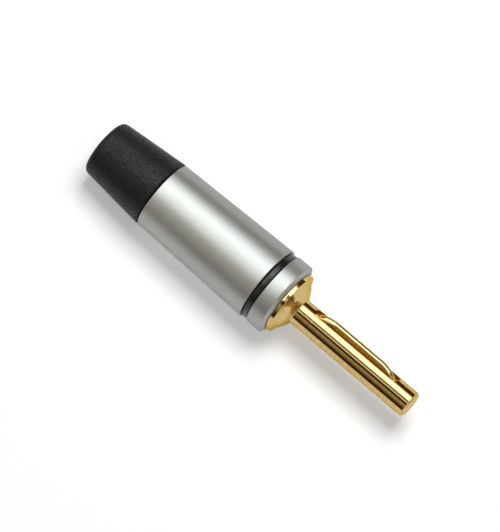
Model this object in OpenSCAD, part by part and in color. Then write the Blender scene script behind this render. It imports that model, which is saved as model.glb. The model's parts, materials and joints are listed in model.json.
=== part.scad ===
// Banana plug for 4 mm sockets, with a screw-on barrel, a colour ring and a rubber cable boot.
// The plug's axis is X, with the pin towards +X. The origin is on the axis at the root of the pin.

/* [Pin] */
// Diameter of the pin
pin_d = 3.9; // [3.6:0.05:4.0]
// Length of the pin from its root to the tip
pin_len = 19.8; // [17:0.1:24]
// Width of the chamfer round the tip
tip_chamfer = 0.3; // [0.1:0.05:0.6]
// Diameter of the centre mark in the tip
centre_mark_d = 0.7; // [0.4:0.05:1.2]
// Depth of the centre mark in the tip
centre_mark_depth = 0.3; // [0.1:0.05:0.6]

/* [Spring slot] */
// Angle of the slot round the pin, from straight up towards +Y
slot_angle = 43; // [0:1:90]
// Distance from the pin's root to the slot
slot_start = 1.8; // [1.5:0.05:3.5]
// Plain length between the slot and the tip
nose_len = 3.2; // [2:0.05:5]
// Width of the slot
slot_w = 1.65; // [1.4:0.05:2]
// Height of the slot's floor above the pin's axis
slot_floor = 1.05; // [0.7:0.05:1.2]

/* [Contact leaf] */
// Gap between the leaf's long edges and the slot's walls
leaf_side_gap = 0.27; // [0.15:0.01:0.3]
// Gap between the leaf's ends and the slot's ends
leaf_end_gap = 0.3; // [0.15:0.05:0.6]
// Gap under the leaf's feet
leaf_seat_gap = 0.03; // [0.01:0.01:0.06]
// Thickness of the leaf at its middle
leaf_t = 0.5; // [0.3:0.05:0.55]
// How far the free leaf stands out of the pin
leaf_proud = 0.65; // [0.3:0.05:0.8]
// Length of the flat foot at each end
leaf_foot = 0.15; // [0.1:0.05:0.4]
// Length of the straight ramp between the two bends
leaf_ramp = 0.15; // [0.05:0.05:0.5]
// Radius of the underside at the bend between ramp and top
leaf_top_bend = 4.3; // [3:0.1:5]
// Radius of the underside at the bend between foot and ramp
leaf_foot_bend = 0.9; // [0.7:0.05:1.2]

/* [Cone and rim] */
// Length of the cone behind the pin
cone_len = 1.5; // [0.8:0.1:3]
// Diameter of the rim behind the cone
rim_d = 9.3; // [8.8:0.1:9.6]
// Length of the rim
rim_len = 0.6; // [0.3:0.05:1]

/* [Thread and shank] */
// Outer diameter of the thread
thread_d = 8.0; // [7.6:0.1:8.2]
// Length from the rim's back to the end of the thread
thread_len = 4.5; // [3.5:0.1:6]
// Length of the relief groove behind the rim
relief_len = 0.6; // [0.3:0.1:1]
// Diameter of the shank and of the relief groove
shank_d = 7.4; // [6.8:0.1:7.5]
// Distance between the shank's end and the boot
shank_room = 1.1; // [0.5:0.1:2]
// Diameter of the bore that takes the conductor
conductor_d = 3.4; // [2.6:0.1:4]
// Depth of the conductor bore
conductor_depth = 11; // [9:0.1:12]

/* [Clamp screws] */
// Diameter of the clamp screws
screw_d = 2.9; // [2:0.1:3.4]
// Distance from the shank's end to the rear screw
screw_from_end = 3; // [2.5:0.1:3.5]
// Distance between the two screws
screw_pitch = 5; // [4:0.1:6]
// Width across the flats of the hex socket
hex_flats = 1.5; // [1:0.1:1.7]
// Depth of the hex socket
hex_depth = 0.8; // [0.4:0.1:1]

/* [Barrel] */
// Length of the barrel
barrel_len = 22.6; // [22:0.1:28]
// Diameter of the barrel at its rear end
barrel_rear_d = 10.2; // [9.8:0.1:10.6]
// Diameter of the barrel at the ring groove
barrel_front_d = 11.2; // [10.9:0.1:11.8]
// Diameter of the collar in front of the ring
collar_d = 11.1; // [10.9:0.1:11.8]
// Length of the collar
collar_len = 2.6; // [2:0.1:3.5]
// Length of the collar's front chamfer
collar_chamfer_len = 0.4; // [0.3:0.05:1]
// Depth of the collar's front chamfer
collar_chamfer_depth = 0.75; // [0.3:0.05:0.9]
// Diameter of the barrel's main bore
barrel_bore_d = 8.6; // [8.4:0.1:8.8]
// Width of the ring groove
groove_w = 1.1; // [0.8:0.05:1.5]
// Diameter of the ring groove's floor
groove_floor_d = 9.8; // [9.5:0.1:10.2]

/* [Polarity ring] */
// Outer diameter of the ring
ring_d = 10.7; // [10.3:0.05:10.9]
// Rounding of the ring's outer edges
ring_round = 0.35; // [0.1:0.05:0.45]

/* [Cable boot] */
// Length of the boot behind the barrel
boot_len = 10.5; // [8:0.1:14]
// Diameter of the boot where it meets the barrel
boot_front_d = 10.3; // [9.8:0.1:10.6]
// Diameter of the boot at its rear end
boot_rear_d = 8.4; // [7.6:0.1:9]
// Rounding of the boot's front edge
boot_front_round = 0.3; // [0.1:0.05:0.5]
// Rounding of the boot's rear edge
boot_round = 0.8; // [0.4:0.05:1]
// Diameter of the hole for the cable
cable_d = 5.5; // [4.5:0.1:6]
// Diameter of the boot's shank inside the barrel
boot_shank_d = 7.8; // [7.4:0.1:8]
// Length of the boot's shank
boot_shank_len = 4.6; // [4:0.1:5]
// Distance from the barrel's end to the middle of the holding bead
bead_from_end = 3.5; // [3:0.1:3.7]
// Height of the holding bead
bead_h = 0.3; // [0.2:0.05:0.4]

/* [Fits] */
// Running clearance all round, between pieces that turn or slide in each other
run_gap = 0.05; // [0.02:0.01:0.08]
// Clearance between faces that meet end to end
face_gap = 0.02; // [0.01:0.01:0.04]

/* [Hidden] */
$fn = 96;

gold = "goldenrod";
aluminium = "silver";
black = "#202020";
steel = "gray";

// Small edges, the angle between an arc's points, the drill's point, and how far a cut runs past a face
edge_round = 0.1;
arc_step = 7.5;
lead_in = 0.25;
root_fillet = 0.25;
mouth_round = 0.4;
drill_angle = 118;
over = 1;

// Stations along the axis
slot_len = pin_len - nose_len - slot_start;
rim_front = -cone_len;
rim_back = rim_front - rim_len;
thread_end = rim_back - thread_len;
barrel_front = rim_back - face_gap;
barrel_rear = barrel_front - barrel_len;
groove_front = barrel_front - collar_len;
groove_rear = groove_front - groove_w;
boot_front = barrel_rear - face_gap;
boot_rear = boot_front - boot_len;
boot_shank_end = boot_front + boot_shank_len;
shank_end = boot_shank_end + shank_room;
bead_x = barrel_rear + bead_from_end;
screw_rear_x = shank_end + screw_from_end;
screw_front_x = screw_rear_x + screw_pitch;

// Radii
pin_r = pin_d / 2;
rim_r = rim_d / 2;
thread_r = thread_d / 2;
shank_r = shank_d / 2;
conductor_r = conductor_d / 2;
thread_bore_r = thread_r + run_gap;
barrel_bore_r = barrel_bore_d / 2;
boot_shank_r = boot_shank_d / 2;
boot_bore_r = boot_shank_r + run_gap;
cable_r = cable_d / 2;
screw_r = screw_d / 2;
screw_hole_r = screw_r + run_gap;
groove_floor_r = groove_floor_d / 2;

// Thread, socket and bead groove inside the barrel, each a little longer than what it takes
end_room = 0.2;
barrel_thread_len = thread_len + end_room;
barrel_socket_len = boot_shank_len + end_room;
bead_half_w = bead_h;
bead_groove_half_w = bead_half_w + end_room / 2;

// Clamp screws, whose tops lie just under the shank's surface
screw_under = 0.08;
screw_top = sqrt(pow(shank_r, 2) - pow(screw_r, 2)) - screw_under;
screw_tip = conductor_r + run_gap;
screw_tip_chamfer = 0.25;

// Leaf: a half-round section, and a bow whose slope follows from its drop and its bends
leaf_w = slot_w - 2 * leaf_side_gap;
leaf_r = leaf_w / 2;
leaf_half = slot_len / 2 - leaf_end_gap;
leaf_under = pin_r + leaf_proud - leaf_t;
leaf_seat = slot_floor + leaf_seat_gap;
leaf_bends = leaf_top_bend + leaf_foot_bend;
leaf_lean = acos((leaf_bends - leaf_under + leaf_seat) / norm([leaf_bends, leaf_ramp]));
leaf_slope = leaf_lean - atan2(leaf_ramp, leaf_bends);
leaf_run = leaf_bends * sin(leaf_slope) + leaf_ramp * cos(leaf_slope);
leaf_top_half = leaf_half - leaf_foot - leaf_run;
leaf_bend_steps = 10;
leaf_section_steps = 16;

// Corner i of an outline: the unit vectors along its edges, half the angle between them, and the middle of its arc
function unit(v) = v / norm(v);
function to_last(points, i) = unit(points[(i + len(points) - 1) % len(points)] - points[i]);
function to_next(points, i) = unit(points[(i + 1) % len(points)] - points[i]);
function half_angle(points, i) = acos(to_last(points, i) * to_next(points, i)) / 2;
function inward(points, i) = unit(to_last(points, i) + to_next(points, i));
function arc_centre(points, i, r) = points[i] + inward(points, i) * r / sin(half_angle(points, i));

// Direction in which an outline turns at corner i: 1 to the left, -1 to the right
function sense(points, i) = sign(cross(to_next(points, i), to_last(points, i)));

// Points of the arc that rounds corner i
function swing(v, angle) = [v[0] * cos(angle) - v[1] * sin(angle), v[0] * sin(angle) + v[1] * cos(angle)];
function arc_points(points, i, r) =
    let (
        centre = arc_centre(points, i, r),
        first = points[i] + to_last(points, i) * r / tan(half_angle(points, i)) - centre,
        turn = 180 - 2 * half_angle(points, i),
        steps = ceil(turn / arc_step)
    )
    [for (k = [0 : steps]) centre + swing(first, sense(points, i) * turn * k / steps)];

// Outline through [x, y, radius] corners, given anticlockwise
module rounded_profile(corners) {
    points = [for (c = corners) [c[0], c[1]]];
    polygon([
        for (i = [0 : len(points) - 1])
        each corners[i][2] > 0 ? arc_points(points, i, corners[i][2]) : [points[i]]
    ]);
}

// Solid of revolution about the plug's axis, from [radius, station, rounding] corners
module turned(corners) {
    rotate([0, 90, 0]) rotate_extrude() rounded_profile(corners);
}

// Middle of the slot, with Z pointing out of it
module at_slot() {
    rotate([-slot_angle, 0, 0]) translate([slot_start + slot_len / 2, 0, 0]) children();
}

// Strip with round ends, the outline of the slot
module strip(half, w) {
    end_x = half - w / 2;
    translate([-end_x, -w / 2]) square([2 * end_x, w]);
    for (x = [-end_x, end_x])
        translate([x, 0]) circle(w / 2);
}

module spring_slot() {
    at_slot() translate([0, 0, slot_floor]) linear_extrude(pin_r) strip(slot_len / 2, slot_w);
}

module centre_mark() {
    mark_r = centre_mark_d / 2;
    turned([
        [0, pin_len - centre_mark_depth, 0],
        [mark_r, pin_len, 0],
        [mark_r, pin_len + over, 0],
        [0, pin_len + over, 0]
    ]);
}

module contact_body() {
    color(gold) difference() {
        turned([
            [0, shank_end, 0],
            [shank_r - lead_in, shank_end, 0],
            [shank_r, shank_end + lead_in, 0],
            [shank_r, thread_end, 0],
            [thread_r - lead_in, thread_end, 0],
            [thread_r, thread_end + lead_in, 0],
            [thread_r, rim_back - relief_len, 0],
            [shank_r, rim_back - relief_len, 0],
            [shank_r, rim_back, 0],
            [rim_r, rim_back, edge_round],
            [rim_r, rim_front, edge_round],
            [pin_r, 0, root_fillet],
            [pin_r, pin_len - tip_chamfer, edge_round],
            [pin_r - tip_chamfer, pin_len, edge_round],
            [0, pin_len, 0]
        ]);
        spring_slot();
        centre_mark();
        turned([
            [0, shank_end - over, 0],
            [conductor_r + lead_in + over, shank_end - over, 0],
            [conductor_r, shank_end + lead_in, 0],
            [conductor_r, shank_end + conductor_depth, 0],
            [0, shank_end + conductor_depth + conductor_r / tan(drill_angle / 2), 0]
        ]);
        for (x = [screw_front_x, screw_rear_x])
            translate([x, 0, 0]) cylinder(h = shank_r + over, r = screw_hole_r);
    }
}

// Underside of half the bow, from its middle to its end, as [station, height, slope] points
function half_bow() = [
    [0, leaf_under, 0],
    for (k = [0 : leaf_bend_steps])
    let (a = leaf_slope * k / leaf_bend_steps)
    [leaf_top_half + leaf_top_bend * sin(a), leaf_under - leaf_top_bend * (1 - cos(a)), a],
    for (k = [leaf_bend_steps : -1 : 0])
    let (a = leaf_slope * k / leaf_bend_steps)
    [leaf_half - leaf_foot - leaf_foot_bend * sin(a), leaf_seat + leaf_foot_bend * (1 - cos(a)), a],
    [leaf_half, leaf_seat, 0]
];

// Half-round section on a flat underside, as [offset across, height] points
function leaf_section() =
    let (spread = acos((leaf_r - leaf_t) / leaf_r))
    [
        for (k = [0 : leaf_section_steps])
        let (a = spread * (2 * k / leaf_section_steps - 1))
        [leaf_r * sin(a), leaf_t - leaf_r + leaf_r * cos(a)]
    ];

// The section swept along the bow, ring by ring
module contact_leaf() {
    half = half_bow();
    last = len(half) - 1;
    far_half = [for (k = [last : -1 : 1]) [-half[k][0], half[k][1], -half[k][2]]];
    path = concat(far_half, half);
    section = leaf_section();
    n = len(section);
    rings = len(path);
    points = [
        for (p = path, s = section) [p[0] + s[1] * sin(p[2]), s[0], p[1] + s[1] * cos(p[2])]
    ];
    sides = [
        for (i = [0 : rings - 2], k = [0 : n - 1])
        [i * n + k, i * n + (k + 1) % n, (i + 1) * n + (k + 1) % n, (i + 1) * n + k]
    ];
    first_end = [for (k = [n - 1 : -1 : 0]) k];
    last_end = [for (k = [0 : n - 1]) (rings - 1) * n + k];
    color(gold) at_slot() polyhedron(points, concat(sides, [first_end, last_end]));
}

module barrel() {
    rear_r = barrel_rear_d / 2;
    front_r = barrel_front_d / 2;
    collar_r = collar_d / 2;
    thread_from = barrel_front - barrel_thread_len;
    socket_to = barrel_rear + barrel_socket_len;
    bead_r = boot_bore_r + bead_h;
    color(aluminium) difference() {
        turned([
            [boot_bore_r, barrel_rear, 0],
            [rear_r, barrel_rear, edge_round],
            [front_r, groove_rear, edge_round],
            [groove_floor_r, groove_rear, 0],
            [groove_floor_r, groove_front, 0],
            [collar_r, groove_front, edge_round],
            [collar_r, barrel_front - collar_chamfer_len, edge_round],
            [collar_r - collar_chamfer_depth, barrel_front, edge_round],
            [thread_bore_r + lead_in, barrel_front, 0],
            [thread_bore_r, barrel_front - lead_in, 0],
            [thread_bore_r, thread_from, 0],
            [barrel_bore_r, thread_from, 0],
            [barrel_bore_r, socket_to, 0],
            [boot_bore_r, socket_to, 0]
        ]);
        turned([
            [boot_bore_r - over, bead_x - bead_groove_half_w, 0],
            [bead_r, bead_x - bead_groove_half_w, 0],
            [bead_r, bead_x + bead_groove_half_w, 0],
            [boot_bore_r - over, bead_x + bead_groove_half_w, 0]
        ]);
    }
}

module polarity_ring() {
    inner_r = groove_floor_r + face_gap;
    outer_r = ring_d / 2;
    edge_r = min(ring_round, outer_r - inner_r - edge_round);
    color(black) turned([
        [inner_r, groove_rear + face_gap, 0],
        [outer_r, groove_rear + face_gap, edge_r],
        [outer_r, groove_front - face_gap, edge_r],
        [inner_r, groove_front - face_gap, 0]
    ]);
}

module cable_boot() {
    front_r = boot_front_d / 2;
    rear_r = boot_rear_d / 2;
    color(black) union() {
        turned([
            [cable_r, boot_rear, mouth_round],
            [rear_r, boot_rear, boot_round],
            [front_r, boot_front, boot_front_round],
            [boot_shank_r, boot_front, 0],
            [boot_shank_r, boot_shank_end, edge_round],
            [cable_r, boot_shank_end, 0]
        ]);
        turned([
            [boot_shank_r - bead_h, bead_x - 2 * bead_half_w, 0],
            [boot_shank_r + bead_h, bead_x, edge_round],
            [boot_shank_r - bead_h, bead_x + 2 * bead_half_w, 0]
        ]);
    }
}

// Headless screw with a hex socket, its axis along Z at a station of the shank
module clamp_screw(x) {
    hex_r = hex_flats / 2 / cos(30);
    color(steel) translate([x, 0, 0]) difference() {
        rotate_extrude() rounded_profile([
            [0, screw_tip, 0],
            [screw_r - screw_tip_chamfer, screw_tip, 0],
            [screw_r, screw_tip + screw_tip_chamfer, 0],
            [screw_r, screw_top - edge_round, 0],
            [screw_r - edge_round, screw_top, 0],
            [0, screw_top, 0]
        ]);
        translate([0, 0, screw_top - hex_depth]) cylinder(h = hex_depth + over, r = hex_r, $fn = 6);
    }
}

module clamp_screw_front() {
    clamp_screw(screw_front_x);
}

module clamp_screw_rear() {
    clamp_screw(screw_rear_x);
}

contact_body();
contact_leaf();
barrel();
polarity_ring();
cable_boot();
clamp_screw_front();
clamp_screw_rear();
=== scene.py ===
"""Looks of the banana plug: finishes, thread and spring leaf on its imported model, and floor, light and view.

Sizes are in millimetres, and MM turns them to metres where a mesh, a light or the camera is made.
The plug's axis is X, with the pin towards +X, and the pin's root is at the origin.
"""

import json
import math

import bmesh
import bpy
from mathutils import Matrix, Vector


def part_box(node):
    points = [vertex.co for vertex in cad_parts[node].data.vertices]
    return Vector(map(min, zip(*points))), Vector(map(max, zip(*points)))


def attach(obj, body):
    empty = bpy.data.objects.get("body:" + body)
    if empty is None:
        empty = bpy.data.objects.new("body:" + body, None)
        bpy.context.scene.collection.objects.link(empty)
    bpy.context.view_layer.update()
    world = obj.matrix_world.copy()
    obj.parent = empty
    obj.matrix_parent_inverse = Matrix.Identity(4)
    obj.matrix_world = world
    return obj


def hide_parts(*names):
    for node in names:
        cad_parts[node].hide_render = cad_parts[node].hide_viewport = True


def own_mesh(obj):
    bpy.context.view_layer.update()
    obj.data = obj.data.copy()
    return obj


MM = 0.001

# Camera: the photograph's frame, the plug's place in it, the viewing angles and the lens
PHOTO_PX = (500, 532)
PX_PER_MM = 7.41
SIGHT_POINT = (-7.65, 0.0, 0.0)
SIGHT_PIXEL = (257.0, 275.4)
VIEW_AZIMUTH = 41.3
VIEW_ELEVATION = 74.75
LENS = 400.0
CLIP_M = (0.01, 20.0)

# Turned pieces: steps round the axis, the distance within which points are one or lie on the seam,
# the angle past which an edge stays sharp, and the pull of large faces on the shading beside them
TURN_STEPS = 256
WELD = 1e-4
SEAM = 2e-4
SMOOTH_ANGLE = 30
LARGE_FACE_WEIGHT = 100

# Eased edges of the turned pieces: their reach, the most of an edge that they take, their steps
# and the least turn that counts as an edge. Then the open seam where the boot meets the barrel
EASE = 0.07
EASE_SHARE = 0.4
EASE_STEPS = 3
EASE_ANGLE = 25
SEAM_GAP = 0.12

# Pin with its spring slot, which lies behind the station SLOT_LAST, and the holes of the clamp screws
PIN_R = 1.95
SLOT_LAST = 17.0
SLOT_W = 1.65
SLOT_FLOOR = 1.05
SLOT_CUT_TOP = 3.75
SLOT_END_GAP = 0.3
SLOT_ARC_STEPS = 24
SCREW_GAP = 0.05
SCREW_CUT_TOP = 5.0
SCREW_HOLE_STEPS = 64

# Thread behind the rim: crest, root and the widths of its ridge there, its steps in a turn,
# the share of its length over which each end fades out, and the size to which it fades
THREAD_CREST_R = 4.0
THREAD_ROOT_R = 3.7
THREAD_CREST_W = 0.14
THREAD_ROOT_W = 0.5
THREAD_STEPS = 96
THREAD_FADE = 0.08
THREAD_END_SIZE = 0.05

# Lamps, long and level with the plug: the leans from straight up towards +Y that each spans
# as the plug sees it, the stations of its two ends, and its radiance
LAMP_DISTANCE = 600.0
KEY_LEANS = (6.5, 31.5)
KEY_ENDS = (-130.0, 130.0)
KEY_RADIANCE = 10.7
BOX_LEANS = (7.5, 46.5)
BOX_CORE_LEANS = (7.5, 31.0)
BOX_ENDS = (-550.0, 350.0)
BOX_RADIANCE = 2.15
BOX_CORE_RADIANCE = 1.3
REAR_LEANS = (-20.0, 6.0)
REAR_ENDS = (-550.0, -125.0)
REAR_RADIANCE = 3.2
SIDE_LEANS = (46.0, 54.0)
SIDE_RADIANCE = 1.8
FILL_LEANS = (-75.0, -20.0)
FILL_ENDS = (-550.0, -150.0)
FILL_RADIANCE = 0.55

# Dim studio round the lamps: its even light, the colour that the metal shows at each lean in degrees,
# and the white surround that the pin points to, by how far ahead and how low a direction lies
STUDIO_LIGHT = "#7C7C7C"
STUDIO_COLOURS = (
    (-90, "#402B13"),
    (-70, "#402B13"),
    (-52, "#9E9474"),
    (-43, "#BAB29C"),
    (-36, "#B2AA92"),
    (-31, "#2C1A08"),
    (-19, "#2C1A08"),
    (-15.5, "#FFFFFF"),
    (-8.5, "#FFFFFF"),
    (-5, "#857F67"),
    (2.5, "#857F67"),
    (10, "#98A2B0"),
    (52, "#98A2B0"),
    (58, "#553818"),
    (90, "#553818"),
)
SURROUND_AHEAD = (0.45, 0.8)
SURROUND_TOP = (0.24, 0.4)
SURROUND_COLOUR = "#F4F4F4"

# Floor: its size, its own grey, and what is added to it where the camera or the metal sees it
FLOOR_SIZE = 6000.0
FLOOR_ALBEDO = 0.92
FLOOR_LIFT = 0.315

# Places of a Mix node's two values and two colours among its inputs, and of each result among its outputs
VALUE_A, VALUE_B, VALUE_OUT = 2, 3, 0
COLOUR_A, COLOUR_B, COLOUR_OUT = 6, 7, 2


def linear(hex_colour):
    """Linear RGBA of an sRGB hex colour."""
    parts = [int(hex_colour[i : i + 2], 16) / 255 for i in (1, 3, 5)]
    return [c / 12.92 if c <= 0.04045 else ((c + 0.055) / 1.055) ** 2.4 for c in parts] + [1.0]


def add_node(tree, kind, inputs=None, **settings):
    """Adds a node. Each of its inputs takes a constant or the output that feeds it."""
    node = tree.nodes.new(kind)
    for name, value in settings.items():
        setattr(node, name, value)
    for key, value in (inputs or {}).items():
        if isinstance(value, bpy.types.NodeSocket):
            tree.links.new(value, node.inputs[key])
        else:
            node.inputs[key].default_value = value
    return node


def new_material(name):
    """An empty node material and its tree."""
    material = bpy.data.materials.new(name)
    material.use_nodes = True
    material.node_tree.nodes.clear()
    return material, material.node_tree


def finish_material(tree, shader):
    """Ends the tree in the given shader."""
    add_node(tree, "ShaderNodeOutputMaterial", {"Surface": shader})


# Materials


def polished_gold_plate(name, mark_length, mark_width, mark_depth):
    """Gold plate on turned or rolled brass: a mirror with faint marks of the tool under the plating.

    A mark's length runs along the plug and its width across it, so a lathe's rings are short and wide, and
    a rolled strip's streaks are long. The real marks are about 0.05 mm apart, and they are drawn several
    times as coarse so that they show. Behind the pin's root they hardly change the plate's colour.
    """
    root_fade = 0.3
    plain_polish = 0.7
    marks_behind_root = 0.15
    slot_roughness = 0.3
    material, tree = new_material(name)
    place = add_node(tree, "ShaderNodeTexCoord")
    stretched = add_node(
        tree,
        "ShaderNodeMapping",
        {
            "Vector": place.outputs["Object"],
            "Scale": (1 / (mark_length * MM), 1 / (mark_width * MM), 1 / (mark_width * MM)),
        },
    )
    marks = add_node(
        tree,
        "ShaderNodeTexNoise",
        {"Vector": stretched.outputs["Vector"], "Scale": 1.0, "Detail": 3.0, "Roughness": 0.6},
    )
    bump = add_node(
        tree,
        "ShaderNodeBump",
        {"Height": marks.outputs["Fac"], "Strength": 1.0, "Distance": mark_depth * MM},
    )
    station = add_node(tree, "ShaderNodeSeparateXYZ", {"Vector": place.outputs["Object"]}).outputs["X"]
    on_pin = add_node(
        tree,
        "ShaderNodeMapRange",
        {
            "Value": station,
            "From Min": -root_fade * MM,
            "From Max": root_fade * MM,
            "To Min": marks_behind_root,
            "To Max": 1.0,
        },
    )
    ridges = add_node(
        tree, "ShaderNodeMapRange", {"Value": marks.outputs["Fac"], "From Min": 0.4, "From Max": 0.6}
    )
    polish = add_node(
        tree,
        "ShaderNodeMix",
        {"Factor": on_pin.outputs["Result"], VALUE_A: plain_polish, VALUE_B: ridges.outputs["Result"]},
    )
    plate = add_node(
        tree,
        "ShaderNodeMix",
        {"Factor": polish.outputs[VALUE_OUT], COLOUR_A: linear("#BFA26B"), COLOUR_B: linear("#CFB57F")},
        data_type="RGBA",
    )
    shine = add_node(
        tree,
        "ShaderNodeMapRange",
        {"Value": marks.outputs["Fac"], "From Min": 0.3, "From Max": 0.7, "To Min": 0.12, "To Max": 0.06},
    )
    # Inside the slot the plate shines less, as milled faces do. Its deeper orange #DEAF5C is painted reflection,
    # standing for light bouncing between the slot's gold walls.
    milled_and_glow = milled_slot_and_glow_mask(tree, place.outputs["Object"], station)
    colour = add_node(
        tree,
        "ShaderNodeMix",
        {"Factor": milled_and_glow, COLOUR_A: plate.outputs[COLOUR_OUT], COLOUR_B: linear("#DEAF5C")},
        data_type="RGBA",
    )
    roughness = add_node(
        tree,
        "ShaderNodeMix",
        {"Factor": milled_and_glow, VALUE_A: shine.outputs["Result"], VALUE_B: slot_roughness},
    )
    shader = add_node(
        tree,
        "ShaderNodeBsdfPrincipled",
        {
            "Base Color": colour.outputs[COLOUR_OUT],
            "Specular Tint": linear("#E3D2A2"),
            "Metallic": 1.0,
            "Roughness": roughness.outputs[VALUE_OUT],
            "Normal": bump.outputs["Normal"],
        },
    )
    finish_material(tree, shader.outputs["BSDF"])
    return material


def milled_slot_and_glow_mask(tree, place, station):
    """Mask of what lies inside the pin's round, the milled slot and the leaf's feet. They shine less, and the
    deeper orange that the mask gives them is painted reflection: it stands for light bouncing between the slot's
    gold walls.
    """
    mask_starts, mask_whole = 0.02, 0.07
    across = add_node(tree, "ShaderNodeVectorMath", {0: place, 1: (0, 1, 1)}, operation="MULTIPLY")
    radius = add_node(tree, "ShaderNodeVectorMath", {0: across.outputs["Vector"]}, operation="LENGTH")
    inside = add_node(
        tree,
        "ShaderNodeMapRange",
        {
            "Value": radius.outputs["Value"],
            "From Min": (PIN_R - mask_starts) * MM,
            "From Max": (PIN_R - mask_whole) * MM,
        },
    )
    ahead = add_node(tree, "ShaderNodeMath", {0: station, 1: 0.0}, operation="GREATER_THAN")
    behind = add_node(tree, "ShaderNodeMath", {0: station, 1: SLOT_LAST * MM}, operation="LESS_THAN")
    along = add_node(
        tree, "ShaderNodeMath", {0: ahead.outputs["Value"], 1: behind.outputs["Value"]}, operation="MULTIPLY"
    )
    both = add_node(
        tree, "ShaderNodeMath", {0: along.outputs["Value"], 1: inside.outputs["Result"]}, operation="MULTIPLY"
    )
    return both.outputs["Value"]


def satin_anodised_aluminium():
    """Turned, fine-blasted and clear-anodised aluminium: a soft sheen with a fine even grain.

    The real grain is about 0.04 mm wide, and it is drawn three times as coarse so that it shows.
    """
    grain_width = 0.12
    ring_pitch, ring_run = 0.25, 20 / 3
    grain_depth = 0.004
    material, tree = new_material("satin_anodised_aluminium")
    place = add_node(tree, "ShaderNodeTexCoord")
    grain = add_node(
        tree,
        "ShaderNodeTexNoise",
        {"Vector": place.outputs["Object"], "Scale": 1 / (grain_width * MM), "Detail": 2.0, "Roughness": 0.5},
    )
    rings = add_node(
        tree,
        "ShaderNodeMapping",
        {
            "Vector": place.outputs["Object"],
            "Scale": (1 / (ring_pitch * MM), 1 / (ring_run * MM), 1 / (ring_run * MM)),
        },
    )
    marks = add_node(
        tree, "ShaderNodeTexNoise", {"Vector": rings.outputs["Vector"], "Scale": 1.0, "Detail": 2.0}
    )
    height = add_node(
        tree, "ShaderNodeMath", {0: grain.outputs["Fac"], 1: marks.outputs["Fac"]}, operation="ADD"
    )
    bump = add_node(
        tree,
        "ShaderNodeBump",
        {"Height": height.outputs["Value"], "Strength": 0.25, "Distance": grain_depth * MM},
    )
    roughness = add_node(
        tree,
        "ShaderNodeMapRange",
        {"Value": grain.outputs["Fac"], "From Min": 0.3, "From Max": 0.7, "To Min": 0.42, "To Max": 0.48},
    )
    shader = add_node(
        tree,
        "ShaderNodeBsdfPrincipled",
        {
            "Base Color": linear("#ABADA9"),
            "Specular Tint": linear("#D6D6D6"),
            "Metallic": 1.0,
            "Roughness": roughness.outputs["Result"],
            "Normal": bump.outputs["Normal"],
        },
    )
    finish_material(tree, shader.outputs["BSDF"])
    return material


def matte_rubber():
    """Moulded black rubber with a fine spark-eroded grain: a dull surface that catches light in tiny specks.

    The real grain is about 0.1 mm wide, and it is drawn nearly three times as coarse so that it shows.
    """
    grain_width, grain_depth = 0.27, 0.05
    material, tree = new_material("matte_moulded_rubber")
    place = add_node(tree, "ShaderNodeTexCoord")
    grain = add_node(
        tree,
        "ShaderNodeTexNoise",
        {"Vector": place.outputs["Object"], "Scale": 1 / (grain_width * MM), "Detail": 1.0, "Roughness": 0.6},
    )
    specks = add_node(
        tree, "ShaderNodeMapRange", {"Value": grain.outputs["Fac"], "From Min": 0.36, "From Max": 0.64}
    )
    colour = add_node(
        tree,
        "ShaderNodeMix",
        {"Factor": specks.outputs["Result"], COLOUR_A: linear("#070707"), COLOUR_B: linear("#181819")},
        data_type="RGBA",
    )
    bump = add_node(
        tree,
        "ShaderNodeBump",
        {"Height": grain.outputs["Fac"], "Strength": 0.6, "Distance": grain_depth * MM},
    )
    roughness = add_node(
        tree,
        "ShaderNodeMapRange",
        {"Value": specks.outputs["Result"], "To Min": 0.66, "To Max": 0.36},
    )
    shader = add_node(
        tree,
        "ShaderNodeBsdfPrincipled",
        {
            "Base Color": colour.outputs[COLOUR_OUT],
            "Roughness": roughness.outputs["Result"],
            "IOR": 1.5,
            "Specular IOR Level": 0.24,
            "Normal": bump.outputs["Normal"],
        },
    )
    finish_material(tree, shader.outputs["BSDF"])
    return material


def satin_black_ring():
    """Smooth black moulded ring: dark, with one soft grey band of light that is a little uneven."""
    blotch_width = 0.3
    material, tree = new_material("satin_black_ring")
    place = add_node(tree, "ShaderNodeTexCoord")
    blotches = add_node(
        tree,
        "ShaderNodeTexNoise",
        {"Vector": place.outputs["Object"], "Scale": 1 / (blotch_width * MM), "Detail": 2.0},
    )
    roughness = add_node(
        tree,
        "ShaderNodeMapRange",
        {"Value": blotches.outputs["Fac"], "From Min": 0.3, "From Max": 0.7, "To Min": 0.26, "To Max": 0.34},
    )
    shader = add_node(
        tree,
        "ShaderNodeBsdfPrincipled",
        {"Base Color": linear("#0C0C0D"), "Roughness": roughness.outputs["Result"], "IOR": 1.5},
    )
    finish_material(tree, shader.outputs["BSDF"])
    return material


def plain_screw_steel():
    """Machined steel screws: grey with fine turning rings round their upright axis."""
    ring_pitch, ring_run = 0.12, 5.0
    material, tree = new_material("plain_screw_steel")
    place = add_node(tree, "ShaderNodeTexCoord")
    rings = add_node(
        tree,
        "ShaderNodeMapping",
        {
            "Vector": place.outputs["Object"],
            "Scale": (1 / (ring_run * MM), 1 / (ring_run * MM), 1 / (ring_pitch * MM)),
        },
    )
    marks = add_node(
        tree, "ShaderNodeTexNoise", {"Vector": rings.outputs["Vector"], "Scale": 1.0, "Detail": 2.0}
    )
    roughness = add_node(
        tree,
        "ShaderNodeMapRange",
        {"Value": marks.outputs["Fac"], "From Min": 0.3, "From Max": 0.7, "To Min": 0.25, "To Max": 0.4},
    )
    shader = add_node(
        tree,
        "ShaderNodeBsdfPrincipled",
        {"Base Color": linear("#B9BABC"), "Metallic": 1.0, "Roughness": roughness.outputs["Result"]},
    )
    finish_material(tree, shader.outputs["BSDF"])
    return material


# Meshes


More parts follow.
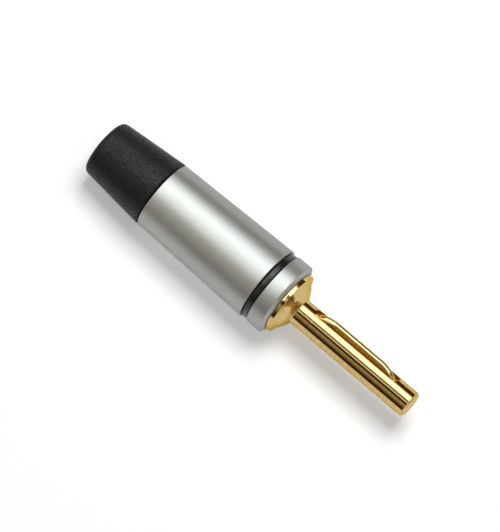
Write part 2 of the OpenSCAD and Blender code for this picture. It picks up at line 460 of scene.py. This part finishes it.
def seam_outline(node):
    """Outline of a turned CAD node as (station, radius) points, read along the seam under the axis."""
    bm = bmesh.new()
    bm.from_mesh(frame["nodes"][node].data)
    bmesh.ops.remove_doubles(bm, verts=bm.verts, dist=WELD * MM)
    seam = {v for v in bm.verts if abs(v.co.y) < SEAM * MM and v.co.z < SEAM * MM}
    links = {v: [] for v in seam}
    for edge in bm.edges:
        a, b = edge.verts
        if a in seam and b in seam:
            links[a].append(b)
            links[b].append(a)
    ends = sorted((v for v in seam if len(links[v]) == 1), key=lambda v: -v.co.x)
    at = ends[0] if ends else min(seam, key=lambda v: (v.co.x, v.co.z))
    last, outline = None, []
    while at is not None and at not in outline:
        outline.append(at)
        onward = [v for v in links[at] if v is not last]
        last, at = at, onward[0] if onward else None
    points = [(v.co.x / MM, max(-v.co.z, 0.0) / MM) for v in outline]
    bm.free()
    return points


def eased(outline):
    """The outline with its corners broken by small curves, as no turned or moulded edge is razor sharp."""
    closed = outline[0][1] > WELD
    corners = [Vector(p) for p in outline]
    points = [at for k, at in enumerate(corners) if (at - corners[k - 1]).length > WELD]
    result = []
    for k, at in enumerate(points):
        if not closed and k in (0, len(points) - 1):
            result.append(at)
            continue
        back, ahead = points[k - 1] - at, points[(k + 1) % len(points)] - at
        if math.degrees((-back).angle(ahead)) < EASE_ANGLE:
            result.append(at)
            continue
        reach = min(EASE, back.length * EASE_SHARE, ahead.length * EASE_SHARE)
        start, end = at + back.normalized() * reach, at + ahead.normalized() * reach
        for step in range(EASE_STEPS + 1):
            t = step / EASE_STEPS
            result.append(start * (1 - t) ** 2 + at * (2 * t * (1 - t)) + end * t**2)
    return [tuple(p) for p in result]


def lathe(name, outline):
    """Closed mesh of an outline turned about the axis."""
    angles = [2 * math.pi * k / TURN_STEPS for k in range(TURN_STEPS)]
    verts, rows = [], []
    for x, r in outline:
        first = len(verts)
        if r < WELD:
            verts.append((x * MM, 0, 0))
            rows.append([first] * TURN_STEPS)
        else:
            verts += [(x * MM, r * MM * math.sin(a), -r * MM * math.cos(a)) for a in angles]
            rows.append(list(range(first, first + TURN_STEPS)))
    touches_axis = outline[0][1] < WELD
    pairs = list(zip(rows, rows[1:])) + ([] if touches_axis else [(rows[-1], rows[0])])
    faces = []
    for low, high in pairs:
        for k in range(TURN_STEPS):
            n = (k + 1) % TURN_STEPS
            faces.append(list(dict.fromkeys([low[k], high[k], high[n], low[n]])))
    mesh = bpy.data.meshes.new(name)
    mesh.from_pydata(verts, [], faces)
    return outward(mesh)


def outward(mesh):
    """The mesh with its faces turned outwards."""
    bm = bmesh.new()
    bm.from_mesh(mesh)
    bmesh.ops.recalc_face_normals(bm, faces=bm.faces)
    bm.to_mesh(mesh)
    bm.free()
    return mesh


def merged_copy(node, name):
    """A CAD node's mesh with its loose triangles joined."""
    bm = bmesh.new()
    bm.from_mesh(frame["nodes"][node].data)
    bmesh.ops.remove_doubles(bm, verts=bm.verts, dist=WELD * MM)
    mesh = bpy.data.meshes.new(name)
    bm.to_mesh(mesh)
    bm.free()
    for extra in [a.name for a in mesh.attributes if a.name == "custom_normal"]:
        mesh.attributes.remove(mesh.attributes[extra])
    return mesh


def prism(name, outline, low, high):
    """Upright prism over an outline of (x, y) points."""
    bm = bmesh.new()
    floor = [bm.verts.new((x * MM, y * MM, low * MM)) for x, y in outline]
    face = bm.faces.new(floor)
    grown = bmesh.ops.extrude_face_region(bm, geom=[face])
    top = [v for v in grown["geom"] if isinstance(v, bmesh.types.BMVert)]
    bmesh.ops.translate(bm, verts=top, vec=(0, 0, (high - low) * MM))
    bmesh.ops.recalc_face_normals(bm, faces=bm.faces)
    mesh = bpy.data.meshes.new(name)
    bm.to_mesh(mesh)
    bm.free()
    return mesh


def new_object(name, data):
    """A new object in the scene, at the origin."""
    obj = bpy.data.objects.new(name, data)
    bpy.context.scene.collection.objects.link(obj)
    return obj


def baked(obj):
    """The object with its modifiers applied to a plain mesh."""
    bpy.context.view_layer.update()
    evaluated = obj.evaluated_get(bpy.context.evaluated_depsgraph_get())
    mesh = bpy.data.meshes.new_from_object(evaluated)
    obj.modifiers.clear()
    obj.data = mesh
    return obj


def cut(obj, cutters):
    """Cuts each cutter out of the object and removes the cutter."""
    for cutter in cutters:
        change = obj.modifiers.new("cut", "BOOLEAN")
        change.operation = "DIFFERENCE"
        change.solver = "EXACT"
        change.object = cutter
        baked(obj)
        bpy.data.objects.remove(cutter)


def shade(obj):
    """Smooth faces with crisp edges, where large faces set the shading of the small rounds beside them."""
    obj.data.shade_smooth()
    obj.data.set_sharp_from_angle(angle=math.radians(SMOOTH_ANGLE))
    normals = obj.modifiers.new("normals", "WEIGHTED_NORMAL")
    normals.mode = "FACE_AREA"
    normals.weight = LARGE_FACE_WEIGHT
    normals.keep_sharp = True
    return baked(obj)


def dress(obj, material, body, slot, *nodes):
    """Gives a finished piece its material and its body, and hides the CAD nodes that it stands for. The slot
    argument is not used.
    """
    obj.data.materials.clear()
    obj.data.materials.append(material)
    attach(obj, body)
    if nodes:
        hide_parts(*nodes)
    return obj


# Pieces


def joint(name):
    """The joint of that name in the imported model."""
    return next(j for j in frame["joints"] if j["name"] == name)


def slot_direction():
    """Direction in which the spring slot opens."""
    return -Vector(joint("leaf_press")["axis"]).normalized()


def slot_cutter():
    """Round-ended slot, a little longer than the leaf in it."""
    low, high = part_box("contact_leaf")
    ends = (low.x / MM - SLOT_END_GAP + SLOT_W / 2, high.x / MM + SLOT_END_GAP - SLOT_W / 2)
    outline = []
    for end, start in ((ends[1], -90), (ends[0], 90)):
        for k in range(SLOT_ARC_STEPS + 1):
            a = math.radians(start + 180 * k / SLOT_ARC_STEPS)
            outline.append((end + SLOT_W / 2 * math.cos(a), SLOT_W / 2 * math.sin(a)))
    mesh = prism("slot_cutter", outline, SLOT_FLOOR, SLOT_CUT_TOP)
    opens = slot_direction()
    mesh.transform(Matrix.Rotation(-math.atan2(opens.y, opens.z), 4, "X"))
    return new_object("slot_cutter", mesh)


def screw_cutter(node):
    """Hole of a clamp screw, from the conductor's bore out through the shank."""
    low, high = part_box(node)
    middle_x = (low.x + high.x) / 2 / MM
    r = (high.x - low.x) / 2 / MM + SCREW_GAP
    steps = [2 * math.pi * k / SCREW_HOLE_STEPS for k in range(SCREW_HOLE_STEPS)]
    outline = [(middle_x + r * math.cos(a), r * math.sin(a)) for a in steps]
    return new_object("screw_cutter", prism("screw_cutter", outline, 0, SCREW_CUT_TOP))


def make_contact(gold):
    """Turned contact: pin, cone, rim, thread root and shank, with its slot and screw holes."""
    outline = seam_outline("contact_body")
    sunk = [(x, THREAD_ROOT_R if THREAD_ROOT_R < r <= THREAD_CREST_R + WELD else r) for x, r in outline]
    contact = new_object("contact_plated", lathe("contact_plated", eased(sunk)))
    cut(contact, [slot_cutter(), screw_cutter("clamp_screw_front"), screw_cutter("clamp_screw_rear")])
    shade(contact)
    return dress(contact, gold, "contact", "gold_plate", "contact_body")


def thread_tree():
    """Node tree of a screw thread round X: a ridge of the given section, wound and faded out at both ends."""
    tree = bpy.data.node_groups.new("screw_thread", "GeometryNodeTree")
    for name, kind in (
        ("Turns", "NodeSocketFloat"),
        ("Length", "NodeSocketFloat"),
        ("Root Radius", "NodeSocketFloat"),
        ("Ridge Height", "NodeSocketFloat"),
        ("Root Width", "NodeSocketFloat"),
        ("Crest Width", "NodeSocketFloat"),
        ("Start", "NodeSocketFloat"),
        ("Material", "NodeSocketMaterial"),
    ):
        tree.interface.new_socket(name, in_out="INPUT", socket_type=kind)
    tree.interface.new_socket("Geometry", in_out="OUTPUT", socket_type="NodeSocketGeometry")
    given = add_node(tree, "NodeGroupInput").outputs
    path = add_node(
        tree,
        "GeometryNodeCurveSpiral",
        {
            "Resolution": THREAD_STEPS,
            "Rotations": given["Turns"],
            "Start Radius": given["Root Radius"],
            "End Radius": given["Root Radius"],
            "Height": given["Length"],
        },
    )
    along = add_node(tree, "GeometryNodeSplineParameter").outputs["Factor"]
    past_middle = add_node(tree, "ShaderNodeMath", {0: along, 1: 0.5}, operation="SUBTRACT")
    from_middle = add_node(tree, "ShaderNodeMath", {0: past_middle.outputs["Value"]}, operation="ABSOLUTE")
    fade = add_node(
        tree,
        "ShaderNodeMapRange",
        {
            "Value": from_middle.outputs["Value"],
            "From Min": 0.5 - THREAD_FADE,
            "From Max": 0.5,
            "To Min": 1.0,
            "To Max": THREAD_END_SIZE,
        },
    )
    section = add_node(
        tree,
        "GeometryNodeCurvePrimitiveQuadrilateral",
        {
            "Height": given["Ridge Height"],
            "Bottom Width": given["Root Width"],
            "Top Width": given["Crest Width"],
            "Offset": 0.0,
        },
        mode="TRAPEZOID",
    )
    upright = add_node(
        tree, "GeometryNodeSetCurveNormal", {"Curve": path.outputs["Curve"]}, mode="Z_UP"
    )
    ridge = add_node(
        tree,
        "GeometryNodeCurveToMesh",
        {
            "Curve": upright.outputs["Curve"],
            "Profile Curve": section.outputs["Curve"],
            "Scale": fade.outputs["Result"],
            "Fill Caps": True,
        },
    )
    place = add_node(tree, "ShaderNodeCombineXYZ", {"X": given["Start"]})
    laid = add_node(
        tree,
        "GeometryNodeTransform",
        {
            "Geometry": ridge.outputs["Mesh"],
            "Translation": place.outputs["Vector"],
            "Rotation": (0, math.radians(90), 0),
        },
    )
    real = add_node(tree, "GeometryNodeRealizeInstances", {"Geometry": laid.outputs["Geometry"]})
    painted = add_node(
        tree,
        "GeometryNodeSetMaterial",
        {"Geometry": real.outputs["Geometry"], "Material": given["Material"]},
    )
    add_node(tree, "NodeGroupOutput", {"Geometry": painted.outputs["Geometry"]})
    return tree


def make_thread(gold):
    """Ridge of the thread that the barrel screws on to."""
    outline = seam_outline("contact_body")
    stations = [x for x, r in outline if abs(r - THREAD_CREST_R) < 10 * WELD]
    start, end = min(stations), max(stations)
    pitch = 2 * math.pi / frame["record"]["behaviour"]["couplings"][0]["ratio"] / MM
    tree = thread_tree()
    sizes = {
        "Turns": (end - start) / pitch,
        "Length": (end - start) * MM,
        "Root Radius": THREAD_ROOT_R * MM,
        "Ridge Height": (THREAD_CREST_R - THREAD_ROOT_R) * MM,
        "Root Width": THREAD_ROOT_W * MM,
        "Crest Width": THREAD_CREST_W * MM,
        "Start": start * MM,
        "Material": gold,
    }
    thread = new_object("contact_thread", bpy.data.meshes.new("contact_thread"))
    wound = thread.modifiers.new("wound", "NODES")
    wound.node_group = tree
    for item in tree.interface.items_tree:
        if item.in_out == "INPUT":
            wound[item.identifier] = sizes[item.name]
    baked(thread)
    outward(thread.data)
    thread.data.shade_smooth()
    thread.data.set_sharp_from_angle(angle=math.radians(SMOOTH_ANGLE))
    return dress(thread, gold, "contact", "gold_plate")


def make_leaf(gold):
    """Bowed contact leaf, whose feet stay in the slot while a socket presses its top in."""
    leaf = new_object("spring_leaf", merged_copy("contact_leaf", "spring_leaf"))
    shade(leaf)
    dress(leaf, gold, "contact", "gold_spring", "contact_leaf")
    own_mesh(leaf)
    return leaf


def make_turned(name, node, outline, material, body, slot):
    """A turned or moulded round piece that stands for its CAD node."""
    piece = new_object(name, lathe(name, eased(outline)))
    return dress(shade(piece), material, body, slot, node)


def boot_outline():
    """The boot's outline, its front shoulder drawn back so that the seam at the barrel is a dark line."""
    seam_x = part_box("barrel")[0].x / MM
    round_x = max(seam_outline("cable_boot"), key=lambda p: p[1])[0]
    return [(x - SEAM_GAP if round_x <= x <= seam_x else x, r) for x, r in seam_outline("cable_boot")]


# Stage


def rest_line():
    """The two (station, height) points that the plug lies on: the widest rings of the boot and the barrel."""
    rear, front = (max(seam_outline(node), key=lambda p: p[1]) for node in ("cable_boot", "barrel"))
    return (rear[0], -rear[1]), (front[0], -front[1])


def make_floor():
    """White table under the plug. Its own colour is pale, and what the camera and the metal see is lifted."""
    rear, front = rest_line()
    tilt = math.atan2(front[1] - rear[1], front[0] - rear[0])
    half = FLOOR_SIZE / 2 * MM
    mesh = bpy.data.meshes.new("floor")
    corners = [(-half, -half, 0), (half, -half, 0), (half, half, 0), (-half, half, 0)]
    mesh.from_pydata(corners, [], [(0, 1, 2, 3)])
    mesh.transform(Matrix.Translation((rear[0] * MM, 0, rear[1] * MM)) @ Matrix.Rotation(-tilt, 4, "Y"))
    material, tree = new_material("white_table")
    path = add_node(tree, "ShaderNodeLightPath")
    seen = add_node(
        tree,
        "ShaderNodeMath",
        {0: path.outputs["Is Camera Ray"], 1: path.outputs["Is Glossy Ray"]},
        operation="MAXIMUM",
    )
    shown = add_node(
        tree,
        "ShaderNodeMath",
        {0: seen.outputs["Value"], 1: path.outputs["Is Transmission Ray"]},
        operation="MAXIMUM",
    )
    lift = add_node(
        tree, "ShaderNodeMath", {0: shown.outputs["Value"], 1: FLOOR_LIFT}, operation="MULTIPLY"
    )
    glow = add_node(tree, "ShaderNodeEmission", {"Strength": lift.outputs["Value"]})
    paper = add_node(tree, "ShaderNodeBsdfDiffuse", {"Color": (FLOOR_ALBEDO, FLOOR_ALBEDO, FLOOR_ALBEDO, 1)})
    both = add_node(tree, "ShaderNodeAddShader", {0: paper.outputs["BSDF"], 1: glow.outputs["Emission"]})
    finish_material(tree, both.outputs["Shader"])
    mesh.materials.append(material)
    floor = new_object("floor", mesh)
    return floor


def make_lamp(name, leans, ends, radiance):
    """Flat lamp over the plug, between two leans from straight up towards +Y and two stations along X."""
    lean = math.radians(sum(leans) / 2)
    half_angle = math.radians((leans[1] - leans[0]) / 2)
    lamp = bpy.data.lights.new(name, "AREA")
    lamp.shape = "RECTANGLE"
    lamp.size = (ends[1] - ends[0]) * MM
    lamp.size_y = 2 * LAMP_DISTANCE * math.tan(half_angle) * MM
    lamp.energy = radiance * math.pi * lamp.size * lamp.size_y
    light = new_object(name, lamp)
    away = Vector((0, math.sin(lean), math.cos(lean))) * LAMP_DISTANCE
    light.location = (Vector((sum(ends) / 2, 0, 0)) + away) * MM
    light.rotation_euler = (-lean, 0, 0)
    light.visible_camera = False
    return light


def make_lights():
    """A small key lamp that gives the floor its shadow, and softboxes that show in the metal.

    The pin mirrors the wide softbox with its bright core. The rear, side and fill boxes lie further back,
    where the camera sees them in the barrel and the boot and not in the pin.
    """
    key = make_lamp("key", KEY_LEANS, KEY_ENDS, KEY_RADIANCE)
    key.visible_glossy = False
    for name, leans, ends, radiance in (
        ("softbox", BOX_LEANS, BOX_ENDS, BOX_RADIANCE),
        ("softbox_core", BOX_CORE_LEANS, BOX_ENDS, BOX_CORE_RADIANCE),
        ("softbox_rear", REAR_LEANS, REAR_ENDS, REAR_RADIANCE),
        ("softbox_side", SIDE_LEANS, REAR_ENDS, SIDE_RADIANCE),
        ("softbox_fill", FILL_LEANS, FILL_ENDS, FILL_RADIANCE),
    ):
        box = make_lamp(name, leans, ends, radiance)
        box.visible_diffuse = False


def make_world():
    """Dim studio: panels and gaps that run along the plug, and a white surround where the pin points."""
    world = bpy.data.worlds.new("studio")
    world.use_nodes = True
    tree = world.node_tree
    tree.nodes.clear()
    place = add_node(tree, "ShaderNodeTexCoord")
    split = add_node(tree, "ShaderNodeSeparateXYZ", {"Vector": place.outputs["Generated"]}).outputs
    lean = add_node(tree, "ShaderNodeMath", {0: split["Y"], 1: split["Z"]}, operation="ARCTAN2")
    first, last = STUDIO_COLOURS[0][0], STUDIO_COLOURS[-1][0]
    along = add_node(
        tree,
        "ShaderNodeMapRange",
        {"Value": lean.outputs["Value"], "From Min": math.radians(first), "From Max": math.radians(last)},
    )
    panels = add_node(tree, "ShaderNodeValToRGB", {"Fac": along.outputs["Result"]})
    stops = panels.color_ramp.elements
    for degrees, colour in STUDIO_COLOURS:
        ends = {first: stops[0], last: stops[-1]}
        stop = ends[degrees] if degrees in ends else stops.new((degrees - first) / (last - first))
        stop.color = linear(colour)
    ahead = add_node(
        tree,
        "ShaderNodeMapRange",
        {"Value": split["X"], "From Min": SURROUND_AHEAD[0], "From Max": SURROUND_AHEAD[1]},
        interpolation_type="SMOOTHSTEP",
    )
    low = add_node(
        tree,
        "ShaderNodeMapRange",
        {
            "Value": split["Z"],
            "From Min": SURROUND_TOP[0],
            "From Max": SURROUND_TOP[1],
            "To Min": 1.0,
            "To Max": 0.0,
        },
        interpolation_type="SMOOTHSTEP",
    )
    surround = add_node(
        tree, "ShaderNodeMath", {0: ahead.outputs["Result"], 1: low.outputs["Result"]}, operation="MULTIPLY"
    )
    seen = add_node(
        tree,
        "ShaderNodeMix",
        {
            "Factor": surround.outputs["Value"],
            COLOUR_A: panels.outputs["Color"],
            COLOUR_B: linear(SURROUND_COLOUR),
        },
        data_type="RGBA",
    )
    path = add_node(tree, "ShaderNodeLightPath")
    studio = add_node(
        tree,
        "ShaderNodeMix",
        {
            "Factor": path.outputs["Is Glossy Ray"],
            COLOUR_A: linear(STUDIO_LIGHT),
            COLOUR_B: seen.outputs[COLOUR_OUT],
        },
        data_type="RGBA",
    )
    sky = add_node(tree, "ShaderNodeBackground", {"Color": studio.outputs[COLOUR_OUT]})
    add_node(tree, "ShaderNodeOutputWorld", {"Surface": sky.outputs["Background"]})
    bpy.context.scene.world = world


def make_camera():
    """Long lens at the photograph's viewing angle."""
    a, e = math.radians(VIEW_AZIMUTH), math.radians(VIEW_ELEVATION)
    back = Vector((math.sin(a) * math.cos(e), -math.cos(a) * math.cos(e), math.sin(e)))
    turn = (-back).to_track_quat("-Z", "Y")
    right, up = turn @ Vector((1, 0, 0)), turn @ Vector((0, 1, 0))
    aside = (PHOTO_PX[0] / 2 - SIGHT_PIXEL[0]) / PX_PER_MM
    above = (SIGHT_PIXEL[1] - PHOTO_PX[1] / 2) / PX_PER_MM
    middle = Vector(SIGHT_POINT) + right * aside + up * above
    data = bpy.data.cameras.new("camera")
    data.lens = LENS
    data.clip_start, data.clip_end = CLIP_M
    field = max(PHOTO_PX) / PX_PER_MM
    camera = new_object("camera", data)
    camera.location = (middle + back * field * LENS / data.sensor_width) * MM
    camera.rotation_mode = "QUATERNION"
    camera.rotation_quaternion = turn
    bpy.context.scene.camera = camera


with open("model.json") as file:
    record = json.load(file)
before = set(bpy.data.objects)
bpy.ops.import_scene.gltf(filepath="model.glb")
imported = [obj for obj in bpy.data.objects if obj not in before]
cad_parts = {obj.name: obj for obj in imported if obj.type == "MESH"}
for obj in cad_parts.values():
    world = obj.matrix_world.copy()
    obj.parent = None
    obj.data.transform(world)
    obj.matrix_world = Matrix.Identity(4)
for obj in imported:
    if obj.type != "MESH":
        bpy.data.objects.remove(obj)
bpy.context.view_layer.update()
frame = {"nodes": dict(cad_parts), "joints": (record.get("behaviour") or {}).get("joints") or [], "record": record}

make_camera()
make_floor()
make_lights()
make_world()

gold_plate = polished_gold_plate("polished_gold_plate", mark_length=0.22, mark_width=9.0, mark_depth=0.004)
gold_spring = polished_gold_plate("polished_gold_spring", mark_length=1.5, mark_width=0.5, mark_depth=0.002)
aluminium = satin_anodised_aluminium()
rubber = matte_rubber()
black_ring = satin_black_ring()
screw_steel = plain_screw_steel()

make_contact(gold_plate)
make_thread(gold_plate)
make_leaf(gold_spring)
make_turned("barrel_sleeve", "barrel", seam_outline("barrel"), aluminium, "barrel", "satin_aluminium")
make_turned("colour_ring", "polarity_ring", seam_outline("polarity_ring"), black_ring, "barrel", "black_ring")
make_turned("rubber_boot", "cable_boot", boot_outline(), rubber, "boot", "black_rubber")
for screw in ("clamp_screw_front", "clamp_screw_rear"):
    frame["nodes"][screw].material_slots[0].material = screw_steel

bpy.context.scene.view_settings.view_transform = "Standard"
